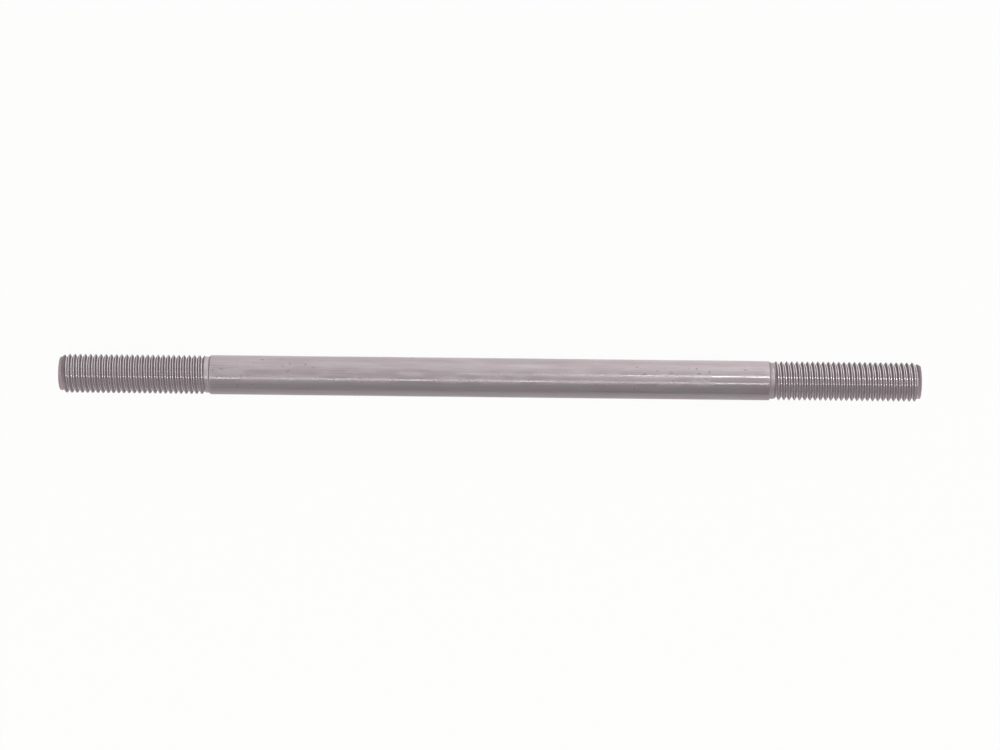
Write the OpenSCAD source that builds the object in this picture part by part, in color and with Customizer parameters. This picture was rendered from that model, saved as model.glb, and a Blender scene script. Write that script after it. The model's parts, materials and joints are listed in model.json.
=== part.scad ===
// Steel rod with a plain shank and a right-hand thread rolled on each end.
// It lies along X, with the origin at the middle of the shank.

/* [Rod] */
// Overall length from end face to end face
rod_length = 174.6; // [100:0.1:400]
// Diameter of the plain shank between the threads
shank_d = 8; // [6:0.01:16]
// Length of the bevel where the shank steps down to each neck
shoulder_bevel = 0.3; // [0.1:0.05:1]

/* [Threads] */
// Distance along the rod from one crest to the next
thread_pitch = 1.058; // [0.8:0.001:1.5]
// Length of each threaded end, from its end face to the shank's shoulder
thread_length = 30.4; // [12:0.1:45]
// How much less the thread measures over its crests than the shank
crest_allowance = 0.06; // [0:0.01:0.1]
// Length of the neck between the last full crest and the shoulder
neck_length = 1.2; // [1:0.1:3]
// Depth of the necks below the shank
neck_depth = 0.3; // [0.15:0.05:0.5]
// Depth of the chamfer round each end face, measured towards the axis
chamfer_depth = 0.65; // [0.5:0.05:1.1]
// Length of that chamfer along the rod
chamfer_length = 1.3; // [0.5:0.05:2]

/* [Hidden] */
$fn = 96;

// Half angle of the 60 degree thread form, and the height of its sharp triangle
flank_angle = 30;
sharp_height = thread_pitch / 2 / tan(flank_angle);

// Radii of the shank, of the thread's crests and roots, and of the neck, which lies
// between them like the blank that a thread is rolled on
shank_r = shank_d / 2;
crest_r = shank_r - crest_allowance / 2;
root_r = crest_r - sharp_height * 17 / 24;
neck_r = shank_r - neck_depth;
// Half the width of the flat at the root
root_half = thread_pitch / 12;

// Heights of the end face, the shoulder and the innermost full crest above the middle
end_z = rod_length / 2;
shoulder_z = end_z - thread_length;
crest_z = shoulder_z + neck_length;

// The groove runs from beyond the end face, and its last half turn rises out of the neck
fade_turns = 0.5;
groove_z = crest_z - fade_turns * thread_pitch;
groove_turns = (end_z - groove_z) / thread_pitch + fade_turns;
// Steps in one turn, with fewer on a long or fine thread
most_steps = 720;
turn_steps = min(24, floor(most_steps / groove_turns));
groove_steps = ceil(groove_turns * turn_steps);
fade_steps = fade_turns * turn_steps;
// Angles round the rod at which the right and left grooves start in their necks
right_start = 71;
left_start = 328.5;
// The groove's open side stands clear of the crests, also midway between two steps
open_gap = 0.02;
open_r = crest_r / cos(180 / turn_steps) + open_gap;

// Half of the blank's outline, from the shank out to the middle of the end face
half_outline = [
  [shank_r, shoulder_z - shoulder_bevel],
  [neck_r, shoulder_z],
  [neck_r, crest_z - (crest_r - neck_r)],
  [crest_r, crest_z],
  [crest_r, end_z - chamfer_length],
  [crest_r - chamfer_depth, end_z],
  [0, end_z]
];

module blank() {
  last = len(half_outline) - 1;
  lower_half = [for (k = [last:-1:0]) [half_outline[k][0], -half_outline[k][1]]];
  rotate_extrude()
    polygon(concat(lower_half, half_outline));
}

// Radius of the groove's root at a step: it starts just clear of the neck and sinks to full depth
function groove_root(step) =
  root_r + (neck_r + open_gap - root_r) * max(0, 1 - step / fade_steps);

// Corners of the groove's section at a step, open side first and last, as [radius, height]
function groove_section(step) =
  let (
    low_r = groove_root(step),
    open_half = root_half + (open_r - low_r) * tan(flank_angle),
    z = groove_z + thread_pitch * step / turn_steps
  )
  [[open_r, z - open_half], [low_r, z - root_half], [low_r, z + root_half], [open_r, z + open_half]];

// The space that one thread's groove takes out of the blank
module groove() {
  corners = len(groove_section(0));
  points = [
    for (step = [0:groove_steps])
    let (angle = 360 * step / turn_steps)
    for (corner = groove_section(step))
    [corner[0] * cos(angle), corner[0] * sin(angle), corner[1]]
  ];
  walls = [
    for (step = [0:groove_steps - 1], side = [0:corners - 1])
    let (
      a = corners * step + side,
      b = corners * step + (side + 1) % corners
    )
    each [[a, b + corners, b], [a, a + corners, b + corners]]
  ];
  first_end = [[for (side = [0:corners - 1]) side]];
  last_end = [[for (side = [corners - 1:-1:0]) corners * groove_steps + side]];
  polyhedron(points, concat(first_end, walls, last_end));
}

module threaded_rod() {
  color([0.69, 0.66, 0.67])
  rotate([0, 90, 0])
  difference() {
    blank();
    rotate(right_start) groove();
    rotate([180, 0, 0]) rotate(left_start) groove();
  }
}

threaded_rod();
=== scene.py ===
import json
import math

import bmesh
import bpy
import numpy as np
from mathutils import Matrix, Vector


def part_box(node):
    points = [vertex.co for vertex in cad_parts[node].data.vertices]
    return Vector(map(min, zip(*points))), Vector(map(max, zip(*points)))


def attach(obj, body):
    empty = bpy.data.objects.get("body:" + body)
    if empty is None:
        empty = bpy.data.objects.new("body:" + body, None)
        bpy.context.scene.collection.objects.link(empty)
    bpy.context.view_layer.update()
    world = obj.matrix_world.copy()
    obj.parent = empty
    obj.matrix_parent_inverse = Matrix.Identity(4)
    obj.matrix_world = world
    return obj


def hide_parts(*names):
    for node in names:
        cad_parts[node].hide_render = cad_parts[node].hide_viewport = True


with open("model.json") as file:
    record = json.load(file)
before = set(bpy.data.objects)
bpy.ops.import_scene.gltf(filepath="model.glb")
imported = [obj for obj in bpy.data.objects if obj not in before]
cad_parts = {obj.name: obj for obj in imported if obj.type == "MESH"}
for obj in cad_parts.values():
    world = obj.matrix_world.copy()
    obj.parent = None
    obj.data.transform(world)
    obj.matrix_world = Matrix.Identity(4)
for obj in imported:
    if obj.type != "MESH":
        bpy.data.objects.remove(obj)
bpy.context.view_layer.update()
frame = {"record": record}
mounts = {mount["name"]: mount for mount in frame["record"]["mounts"]}
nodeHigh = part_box("threaded_rod")[1]
mm = 0.001


def plug(tree, socket, value):
    # a wire is linked, and anything else is the socket's own value
    if isinstance(value, Wire):
        tree.links.new(value.socket, socket)
    elif hasattr(socket.default_value, "__len__") and len(socket.default_value) == 4 and len(value) == 3:
        socket.default_value = (*value, 1)
    else:
        socket.default_value = value


class Wire:
    def __init__(self, tree, socket=None):
        self.tree = tree
        self.socket = socket

    def make(self, kind, settings=None, sockets=None, output=0):
        node = self.tree.nodes.new(kind)
        for name, value in (settings or {}).items():
            setattr(node, name, value)
        for name, value in (sockets or {}).items():
            plug(self.tree, node.inputs[name], value)
        return Wire(self.tree, node.outputs[output] if node.outputs else None)

    def maths(self, operation, *values):
        return self.make("ShaderNodeMath", {"operation": operation}, dict(enumerate(values)))

    def __add__(self, other):
        return self.maths("ADD", self, other)

    def __radd__(self, other):
        return self.maths("ADD", other, self)

    def __sub__(self, other):
        return self.maths("SUBTRACT", self, other)

    def __rsub__(self, other):
        return self.maths("SUBTRACT", other, self)

    def __mul__(self, other):
        return self.maths("MULTIPLY", self, other)

    def __rmul__(self, other):
        return self.maths("MULTIPLY", other, self)

    def __truediv__(self, other):
        return self.maths("DIVIDE", self, other)

    def __pow__(self, other):
        return self.maths("POWER", self, other)

    def __abs__(self):
        return self.maths("ABSOLUTE", self)

    def larger(self, other):
        return self.maths("MAXIMUM", self, other)

    def axis(self, index):
        return self.make("ShaderNodeSeparateXYZ", {}, {0: self}, output=index)

    # the product of two vectors or colours
    def times(self, other):
        return self.make("ShaderNodeVectorMath", {"operation": "MULTIPLY"}, {0: self, 1: other})

    def scaled(self, factor):
        return self.make("ShaderNodeVectorMath", {"operation": "SCALE"}, {0: self, "Scale": factor})

    # 0 below low, 1 above high, and smooth between
    def step(self, low, high):
        return self.make("ShaderNodeMapRange", {"interpolation_type": "SMOOTHSTEP"},
                         {"Value": self, "From Min": low, "From Max": high})

    # 1 between the two steps, and 0 outside them
    def within(self, rise, fall):
        return self.step(*rise) * (1 - self.step(*fall))

    def blend(self, start, end):
        return self.make("ShaderNodeMix", {"data_type": "RGBA"}, {0: self, 6: start, 7: end}, output=2)

    # a grey for each place from 0 to 1 along this wire
    def ramp(self, stops):
        made = self.make("ShaderNodeValToRGB", {}, {0: self})
        elements = made.socket.node.color_ramp.elements
        while len(elements) < len(stops):
            elements.new(0.5)
        for stop, (place, level) in zip(elements, stops):
            stop.position = place
            stop.color = (level, level, level, 1)
        return made

    def marks(self, kind):
        placed = self.times(kind["cells"])
        made = self.make("ShaderNodeTexNoise", {}, {"Vector": placed, "Scale": 1, "Detail": kind["octaves"],
                                                    "Roughness": kind.get("roughness", 0.5)})
        return made.step(*kind["between"]) if "between" in kind else made

    def ray(self, kind):
        return self.make("ShaderNodeLightPath", output=f"Is {kind} Ray")


def emptyTree(owner):
    owner.use_nodes = True
    owner.node_tree.nodes.clear()
    return Wire(owner.node_tree)


def show(name, data):
    thing = bpy.data.objects.new(name, data)
    bpy.context.scene.collection.objects.link(thing)
    return thing


# The rod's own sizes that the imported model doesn't state, in metres
rodForm = {
    "pitch": 1.058 * mm,
    "starts": (math.radians(341), math.radians(238.5)),  # where each groove leaves its neck
    "fadeTurns": 0.5,  # turns in which a groove rises out of its neck
    # the thread's 60 degree form, with eased corners, in shares of the pitch from the root's middle
    "slope": 1 / math.tan(math.radians(30)),
    "rootHalf": 1 / 12,
    "crestFrom": 7 / 16,
    "rootEase": [(0, 0), (0.066, 0), (0.074, 0.0012), (0.085, 0.009)],  # up from the root
    "crestEase": [(0.434, 0.0078), (0.443, 0.001), (0.449, 0), (0.5, 0)],  # down from the crest
    "flank": (0.1, 0.42),  # where the straight flank starts and ends
    "threadEnd": 30.4 * mm,  # end face to shoulder
    "neckDepth": 0.3 * mm,  # below the shank
    "bevel": 0.3 * mm,
    # the bevel's eased outline, past the shoulder and above the neck
    "bevelEase": [(-0.4 * mm, 0.3 * mm), (-0.32 * mm, 0.294 * mm), (-0.24 * mm, 0.25 * mm),
                  (-0.05 * mm, 0.039 * mm), (0.03 * mm, 0.008 * mm)],
    "join": 0.18 * mm,  # past the shoulder, where the turned shank meets the thread's grid
    "chamferDepth": 0.65 * mm,
    "chamferLength": 1.3 * mm,
    "edgeRound": 0.07 * mm,
    "faceRings": (0.6, 0.25),  # shares of the end face's radius
    "sides": 72,
    "shankRings": 90,
    "weld": 1e-7,
    "sharp": math.radians(38),  # edges that turn by more stay sharp
}


def threadProfile(form):
    pitch, slope = form["pitch"], form["slope"]
    root = form["crestRadius"] - pitch * slope * (form["crestFrom"] - form["rootHalf"])
    low, high = form["flank"]
    fromRoot = form["rootEase"] + [(low, (low - form["rootHalf"]) * slope)]
    fromCrest = [(high, (form["crestFrom"] - high) * slope)] + form["crestEase"]
    half = [(share, root + rise * pitch) for share, rise in fromRoot]
    half += [(share, form["crestRadius"] - drop * pitch) for share, drop in fromCrest]
    mirrored = [(1 - share, radius) for share, radius in half[-2:0:-1]]
    return half + mirrored, root


def blankRadius(u, form):
    # the turned blank: neck, cone up to the crests, and end chamfer; u is the distance from the middle
    points = [
        (form["shoulder"], form["neckRadius"]),
        (form["crestStart"] - (form["crestRadius"] - form["neckRadius"]), form["neckRadius"]),
        (form["crestStart"], form["crestRadius"]),
        (form["end"] - form["chamferLength"], form["crestRadius"]),
        (form["end"], form["crestRadius"] - form["chamferDepth"]),
    ]
    return np.interp(u, [p[0] for p in points], [p[1] for p in points])


def threadGrid(form, start):
    # one column of points for each side, which follows the thread's profile along the rod
    profile, root = threadProfile(form)
    shares = np.array([p[0] for p in profile])
    radii = np.array([p[1] for p in profile])
    pitch, sides, perTurn = form["pitch"], form["sides"], len(profile)
    inner = form["shoulder"] + form["join"]
    outer = form["end"] - form["edgeRound"]
    fade = form["fadeTurns"] * pitch
    grooveStart = form["crestStart"] - fade
    atZero = grooveStart - pitch * start / math.tau
    atZero -= pitch * math.ceil((atZero - inner) / pitch + 1)
    # a turn more at each end, so that every side reaches both
    turns = math.ceil((outer - atZero) / pitch) + 2
    u = (atZero + pitch * (np.arange(turns)[:, None] + shares[None, :])).reshape(-1)
    around = np.arange(sides) / sides
    u = u[None, :] + pitch * around[:, None]
    groove = np.tile(radii, turns)[None, :] + np.zeros_like(u)
    # the groove starts just clear of the neck and sinks to full depth
    away = np.tile(np.where(shares > 0.5, shares - 1, shares), turns)[None, :] * pitch
    centre = u - away
    lift = np.clip(1 - (centre - grooveStart) / fade, 0, 2)
    groove = groove + lift * (form["neckRadius"] - root)
    clamped = np.clip(u, inner, outer)
    radius = np.minimum(blankRadius(clamped, form), groove)
    radius = np.where(u <= inner, form["neckRadius"], radius)
    radius = np.where(u >= outer, blankRadius(outer, form), radius)
    angle = math.tau * around[:, None] + np.zeros_like(u)
    points = np.stack([clamped, radius * np.cos(angle), radius * np.sin(angle)], axis=-1)
    count = u.shape[1]
    faces = []
    for side in range(sides):
        following = (side + 1) % sides
        # the last side meets the first one a turn further on
        shift = perTurn if following == 0 else 0
        for j in range(count - perTurn - 1):
            a = side * count + j
            b = following * count + j + shift
            faces.append((a, a + 1, b + 1, b))
    return points.reshape(-1, 3), faces, inner, outer


def revolve(outline, sides):
    # outline is a list of (x, radius)
    points, faces = [], []
    for x, radius in outline:
        for side in range(sides):
            angle = math.tau * side / sides
            points.append((x, radius * math.cos(angle), radius * math.sin(angle)))
    for ring in range(len(outline) - 1):
        for side in range(sides):
            a = ring * sides + side
            b = ring * sides + (side + 1) % sides
            faces.append((a, a + sides, b + sides, b))
    return np.array(points), faces


def buildRod(form):
    crest = mounts["thread_right"]["dims"]
    form["end"] = nodeHigh.x
    form["shankRadius"] = min(nodeHigh.y, nodeHigh.z)
    form["crestRadius"] = crest["r_mm"] * mm
    form["crestStart"] = form["end"] - crest["length_mm"] * mm
    form["shoulder"] = form["end"] - form["threadEnd"]
    form["neckRadius"] = form["shankRadius"] - form["neckDepth"]

    mesh = bmesh.new()

    def add(points, faces, turned=False):
        flip = np.array([-1, -1, 1]) if turned else np.array([1, 1, 1])
        made = [mesh.verts.new(p * flip) for p in points]
        for face in faces:
            # corners in the same place count once
            corners = {}
            for k in face:
                corners.setdefault(tuple(np.round(points[k], 9)), made[k])
            if len(corners) > 2:
                mesh.faces.new(list(corners.values()))

    for turned, start in zip((False, True), form["starts"]):
        threadPoints, threadFaces, inner, outer = threadGrid(form, start)
        add(threadPoints, threadFaces, turned)
    print("threads", len(threadPoints) * 2, "points")

    # the shank with a bevel and the start of a neck at both ends
    half = [(form["shoulder"] + past, form["neckRadius"] + above) for past, above in form["bevelEase"]]
    half.append((inner, form["neckRadius"]))
    reach = half[0][0]
    shank = [(x, form["shankRadius"]) for x in np.linspace(-reach, reach, form["shankRings"])]
    outline = [(-x, radius) for x, radius in half[:0:-1]] + shank + half[1:]
    add(*revolve(outline, form["sides"]))

    # end faces, with their edge eased
    face = form["crestRadius"] - form["chamferDepth"]
    cap = [(outer, float(blankRadius(outer, form))), (form["end"], face - form["edgeRound"])]
    cap += [(form["end"], face * share) for share in form["faceRings"]]
    capPoints, capFaces = revolve(cap, form["sides"])
    lastRing = len(capPoints) - form["sides"]
    capFaces.append(tuple(range(lastRing, len(capPoints))))
    for turned in (False, True):
        add(capPoints, capFaces, turned)

    bmesh.ops.remove_doubles(mesh, verts=mesh.verts, dist=form["weld"])
    bmesh.ops.delete(mesh, geom=[v for v in mesh.verts if not v.link_faces], context="VERTS")
    bmesh.ops.recalc_face_normals(mesh, faces=mesh.faces)
    for face in mesh.faces:
        face.smooth = True
    for edge in mesh.edges:
        if len(edge.link_faces) == 2 and edge.calc_face_angle() > form["sharp"]:
            edge.smooth = False
    print("open edges", sum(len(e.link_faces) != 2 for e in mesh.edges), "faces", len(mesh.faces))
    data = bpy.data.meshes.new("rodSteel")
    mesh.to_mesh(data)
    mesh.free()
    return show("rodSteel", data)


steelFinish = {
    "colour": (0.49, 0.424, 0.447),
    "greyer": (0.462, 0.418, 0.434),
    "greyFrom": (0.38, 0.62),  # the blotch levels between which the steel turns greyer
    "roughness": (0.165, 0.275),  # polished dashes and rubbed ones
    # the flanks of the threads and the cut ends are duller
    "dull": {"colour": (0.25, 0.205, 0.222), "metal": 0.1, "roughness": 0.6},
    "cut": (0.29, 0.225, 0.248),
    "crest": {"colour": (0.645, 0.589, 0.613), "roughness": 0.11},
    "root": {"colour": (0.685, 0.629, 0.653), "roughness": 0.11},
    # shares of the thread's height where the flanks begin and end
    "flankFrom": (0.01, 0.12),
    "flankTo": (0.92, 0.985),
    # how dull the bevels are, and the necks and the cut ends on the left and on the right. The duller
    # finish is also darker, and the difference between the sides is painted shade, on the right neck and on
    # the left end
    "bevel": 0.7,
    "neck": (0.0, 0.34),
    "end": (0.75, 0.25),
    # where those parts begin and end, from the innermost crest and from the shoulder
    "threads": (-0.4 * mm, -0.2 * mm),
    "neckFrom": (-0.05 * mm, 0.02 * mm),
    "neckTo": (0.7 * mm, 0.9 * mm),
    "bevelBlur": 0.1 * mm,
    "chamferBlur": 0.3,  # share of the chamfer's length
    # where the left side turns into the right one, and the near side into the far one
    "rightFrom": (-10 * mm, 10 * mm),
    "farFrom": (-1 * mm, 1 * mm),
    # how much each mark changes the brightness
    "line": 0.26,
    "blotch": (0.22, 0.5),  # on the near side and the far side
    "pit": 0.33,
    "nearPits": 0.35,  # the share of them that shows on the near side
    "streak": 0.07,
    "leftNeckPaintedHighlight": 0.15,  # painted highlight: how much brighter the left neck's colour is made, in place of a reflection
    "bump": {"Strength": 0.015, "Distance": 0.00002},
}

# cells to a metre along the rod and across it, and the levels between which a mark comes in
steelMarks = {
    "line": {"cells": (50, 3600, 3600), "octaves": 2},
    "blotch": {"cells": (100, 520, 520), "octaves": 2, "roughness": 0.55},
    "dash": {"cells": (190, 900, 900), "octaves": 0, "between": (0.38, 0.62)},
    "pit": {"cells": (800, 1400, 1400), "octaves": 1, "between": (0.67, 0.72)},
    "pitArea": {"cells": (50, 130, 130), "octaves": 1, "between": (0.52, 0.64)},
    "streak": {"cells": (22, 4200, 4200), "octaves": 1, "between": (0.6, 0.7)},
}


def shifted(place, span):
    return [place + offset for offset in span]


def makeSteel(finish, kinds, form):
    material = bpy.data.materials.new("drawnSteel")
    wire = emptyTree(material)
    place = wire.make("ShaderNodeTexCoord", output="Object")
    x, y, z = (place.axis(index) for index in range(3))
    along = abs(x)
    rightHand = x.step(*finish["rightFrom"])
    farSide = y.step(*finish["farFrom"])

    def bySide(pair, side):
        return pair[0] + (pair[1] - pair[0]) * side

    # the parts of the rod
    radius = (y * y + z * z) ** 0.5
    root = threadProfile(form)[1]
    height = (radius - root) / (form["crestRadius"] - root)
    threaded = along.step(*shifted(form["crestStart"], finish["threads"]))
    flank = height.within(finish["flankFrom"], finish["flankTo"]) * threaded
    crest = height.step(*finish["flankTo"]) * threaded
    valley = (1 - height.step(*finish["flankFrom"])) * threaded
    chamfer = form["end"] - form["chamferLength"]
    end = along.step(chamfer, chamfer + form["chamferLength"] * finish["chamferBlur"])
    shoulder, blur = form["shoulder"], finish["bevelBlur"]
    inNeck = along.within(shifted(shoulder, finish["neckFrom"]), shifted(shoulder, finish["neckTo"]))
    bevelStart = shoulder - form["bevel"]
    inBevel = along.within((bevelStart - blur, bevelStart), (shoulder, shoulder + blur))
    # painted shade: the right neck and the left end get more of the darker dull finish than their twins on
    # the other side
    dull = bySide(finish["end"], rightHand) * end + bySide(finish["neck"], rightHand) * inNeck
    dull = flank.larger(dull + finish["bevel"] * inBevel)

    # draw lines, blotches, dashes that break the highlights, scattered pits and long streaks
    marks = {name: place.marks(kind) for name, kind in kinds.items()}
    pits = marks["pit"] * marks["pitArea"] * bySide((finish["nearPits"], 1), farSide)
    shade = 1 + finish["line"] * (marks["line"] - 0.5)
    shade = shade * (1 + bySide(finish["blotch"], farSide) * (marks["blotch"] - 0.5))
    shade = shade * (1 - finish["pit"] * pits) * (1 - finish["streak"] * marks["streak"])
    # painted highlight: the left neck's colour is made brighter, standing in for a reflection there
    shade = shade * (1 + finish["leftNeckPaintedHighlight"] * inNeck * (1 - rightHand))

    plain = marks["blotch"].step(*finish["greyFrom"]).blend(finish["colour"], finish["greyer"])
    plain = valley.blend(crest.blend(plain, finish["crest"]["colour"]), finish["root"]["colour"])
    tinted = dull.blend(plain.scaled(shade), end.blend(finish["dull"]["colour"], finish["cut"]))
    rough = bySide(finish["roughness"], marks["dash"])
    for share, part in ((crest, "crest"), (valley, "root"), (dull, "dull")):
        rough = rough + share * (finish[part]["roughness"] - rough)
    metal = 1 - (1 - finish["dull"]["metal"]) * dull
    bump = wire.make("ShaderNodeBump", {}, {"Height": marks["line"] * (1 - threaded), **finish["bump"]})
    steel = wire.make("ShaderNodeBsdfPrincipled", {}, {"Metallic": metal, "Base Color": tinted,
                                                       "Roughness": rough, "Normal": bump})
    wire.make("ShaderNodeOutputMaterial", {}, {"Surface": steel})
    return material


print("building the rod")
rodPiece = buildRod(rodForm)
rodPiece.data.materials.append(makeSteel(steelFinish, steelMarks, rodForm))
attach(rodPiece, "root")
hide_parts("threaded_rod")

print("laying the floor and lights")
floorForm = {
    "size": 8.0,
    "colour": (0.93, 0.93, 0.925),
    "shown": {"colour": (1, 1, 0.995), "share": 0.95},  # its glow in the camera's view
    # its glow in the rod, against metres from the near side (-) to the far side (+); the darker near side
    # is a painted shadow of the rod on the floor
    "seen": [(-0.12, 0.5), (-0.02, 0.58), (-0.004, 0.68), (0.004, 0.95), (0.03, 1.0), (0.12, 1.0)],
    "tint": (1.0, 0.972, 0.978),
    "share": 0.97,
    "brighter": {"by": 0.14, "right": (0.0, 0.035), "far": (0.0, 0.01)},  # painted light: the glow that the rod reflects is made brighter at the far right
}


def makeFloor(form):
    half = form["size"] / 2
    low = -rodForm["shankRadius"]
    corners = [(-half, -half, low), (half, -half, low), (half, half, low), (-half, half, low)]
    data = bpy.data.meshes.new("floor")
    data.from_pydata(corners, [], [(0, 1, 2, 3)])
    floor = show("floor", data)
    material = bpy.data.materials.new("paleTable")
    wire = emptyTree(material)
    camera, glossy = wire.ray("Camera"), wire.ray("Glossy")
    seen = camera.larger(glossy.larger(wire.ray("Transmission")))
    place = wire.make("ShaderNodeTexCoord", output="Object")
    rightward, farther = place.axis(0), place.axis(1)
    nearest, farthest = form["seen"][0][0], form["seen"][-1][0]
    reach = farthest - nearest
    stops = [((y - nearest) / reach, level) for y, level in form["seen"]]
    # painted shadow: the glow that the rod reflects is darker on the near side of the floor
    glowWithPaintedShadow = (farther / reach + 0.5).ramp(stops)
    # painted light: a brighter patch of reflected glow at the far right of the floor
    paintedLightPatch = form["brighter"]
    lift = 1 + paintedLightPatch["by"] * rightward.step(*paintedLightPatch["right"]) * farther.step(*paintedLightPatch["far"])
    tinted = glowWithPaintedShadow.times(form["tint"]).scaled(lift)
    glow = wire.make("ShaderNodeEmission", {}, {"Color": camera.blend(tinted, form["shown"]["colour"]),
                                                "Strength": 1.0})
    share = form["shown"]["share"] * camera + form["share"] * glossy
    plain = wire.make("ShaderNodeBsdfDiffuse", {}, {"Color": form["colour"]})
    mixed = wire.make("ShaderNodeMixShader", {}, {0: seen * share, 1: plain, 2: glow})
    wire.make("ShaderNodeOutputMaterial", {}, {"Surface": mixed})
    data.materials.append(material)


makeFloor(floorForm)

roomForm = {
    # brightness of the room by direction, from the near side (-1) over the zenith (0) to the far side (1)
    "nearToFar": [(-1.0, 0.412), (-0.9, 0.424), (-0.7, 0.467), (-0.45, 0.53), (0.0, 0.73), (0.56, 0.81),
                  (0.93, 1.08), (1.0, 1.08)],
    # soft panels at the rod's two ends, from the left horizon (-1) to the right one (1), as a factor
    "towardsEnds": [(-1.0, 0.35), (-0.92, 0.6), (-0.8, 2.1), (-0.34, 2.1), (-0.22, 1.0), (0.22, 1.0),
                    (0.34, 2.1), (0.92, 2.1), (0.97, 0.8), (1.0, 0.4)],
    "peak": 2.4,  # above all these levels, since a ramp holds no more than 1
    "panelEdge": (-0.5, -0.3),  # the panels end on the near side, between these places
    "twist": 1.0,  # brighter to the far right and the near left
    "onDull": 0.72,  # the room's share that dull surfaces get
}


def makeRoom(form):
    world = bpy.data.worlds.new("room")
    bpy.context.scene.world = world
    wire = emptyTree(world)
    direction = wire.make("ShaderNodeTexCoord", output="Generated")
    rightward, farther = direction.axis(0), direction.axis(1)
    peak = form["peak"]

    def levels(place, stops):
        return (0.5 + 0.5 * place).ramp([((at + 1) / 2, level / peak) for at, level in stops])

    room = levels(farther, form["nearToFar"])
    panelled = wire.ray("Glossy") * farther.step(*form["panelEdge"])
    ends = panelled.blend((1 / peak,) * 3, levels(rightward, form["towardsEnds"]))
    both = room.times(ends).scaled(1 + form["twist"] * rightward * farther)
    shown = wire.ray("Camera").blend(both, (1 / peak ** 2,) * 3)
    strength = peak ** 2 * (1 - (1 - form["onDull"]) * wire.ray("Diffuse"))
    light = wire.make("ShaderNodeBackground", {}, {"Color": shown, "Strength": strength})
    wire.make("ShaderNodeOutputWorld", {}, {"Surface": light})


makeRoom(roomForm)

# thin lamps along the rod, each given by the height of its reflection on the shank and its run along X
lampForm = {
    "height": 0.7,
    "wide": 0.03,
    "near": {"seenAt": -0.163, "run": (-1.4, 1.4), "watts": 0.85},
    "far": {"seenAt": 0.18, "run": (0.05, 0.8), "watts": 0.5},
    "fill": {"place": (0, -0.9, 0.2), "size": 0.35, "watts": 6.5},
}


def hangLamp(name, watts, long, wide):
    light = bpy.data.lights.new(name, "AREA")
    light.shape = "RECTANGLE"
    light.size, light.size_y = long, wide
    light.energy = watts
    return show(name, light)


def hangStrip(name, form, lamp):
    # a reflection at a share of the radius comes from twice that slope
    lean = 2 * math.asin(lamp["seenAt"])
    left, right = lamp["run"]
    strip = hangLamp(name, lamp["watts"], right - left, form["wide"])
    strip.location = ((left + right) / 2, form["height"] * math.tan(lean), form["height"])
    strip.rotation_euler = (-lean, 0, 0)


def hangFill(name, lamp):
    # a broad light that only dull surfaces show
    fill = hangLamp(name, lamp["watts"], lamp["size"], lamp["size"])
    fill.location = lamp["place"]
    fill.rotation_euler = Vector(lamp["place"]).to_track_quat("Z", "Y").to_euler()
    fill.visible_glossy = False


hangStrip("nearStrip", lampForm, lampForm["near"])
hangStrip("farStrip", lampForm, lampForm["far"])
hangFill("nearFill", lampForm["fill"])

viewForm = {
    "distance": 3.6,  # in lengths of the rod
    "span": 859.7,  # pixels from end to end of the rod's axis, in the frame below
    "middle": (489.48, 377.65),  # where the rod's middle lies in that frame
    "frame": (1000, 750),
    "sensor": 36,
    "clip": 0.01,
    "turn": 0.62,  # degrees, so that the rod dips to the right
    "swing": 0.8,  # degrees that the camera stands off to the right
}


def makeCamera(form):
    length = 2 * nodeHigh.x
    pixel = length / form["span"]
    distance = form["distance"] * length
    wide, high = form["frame"]
    view = bpy.data.cameras.new("camera")
    view.sensor_width = form["sensor"]
    view.lens = form["sensor"] * distance / (wide * pixel)
    view.clip_start = form["clip"]
    camera = show("camera", view)
    swing = Matrix.Rotation(math.radians(form["swing"]), 3, "Y")
    turn = swing @ Matrix.Rotation(math.radians(form["turn"]), 3, "Z")
    across, down = form["middle"]
    aim = turn @ Vector(((wide / 2 - across) * pixel, (down - high / 2) * pixel, distance))
    camera.matrix_world = Matrix.Translation(aim) @ turn.to_4x4()
    bpy.context.scene.camera = camera


makeCamera(viewForm)
bpy.context.scene.view_settings.view_transform = "Standard"
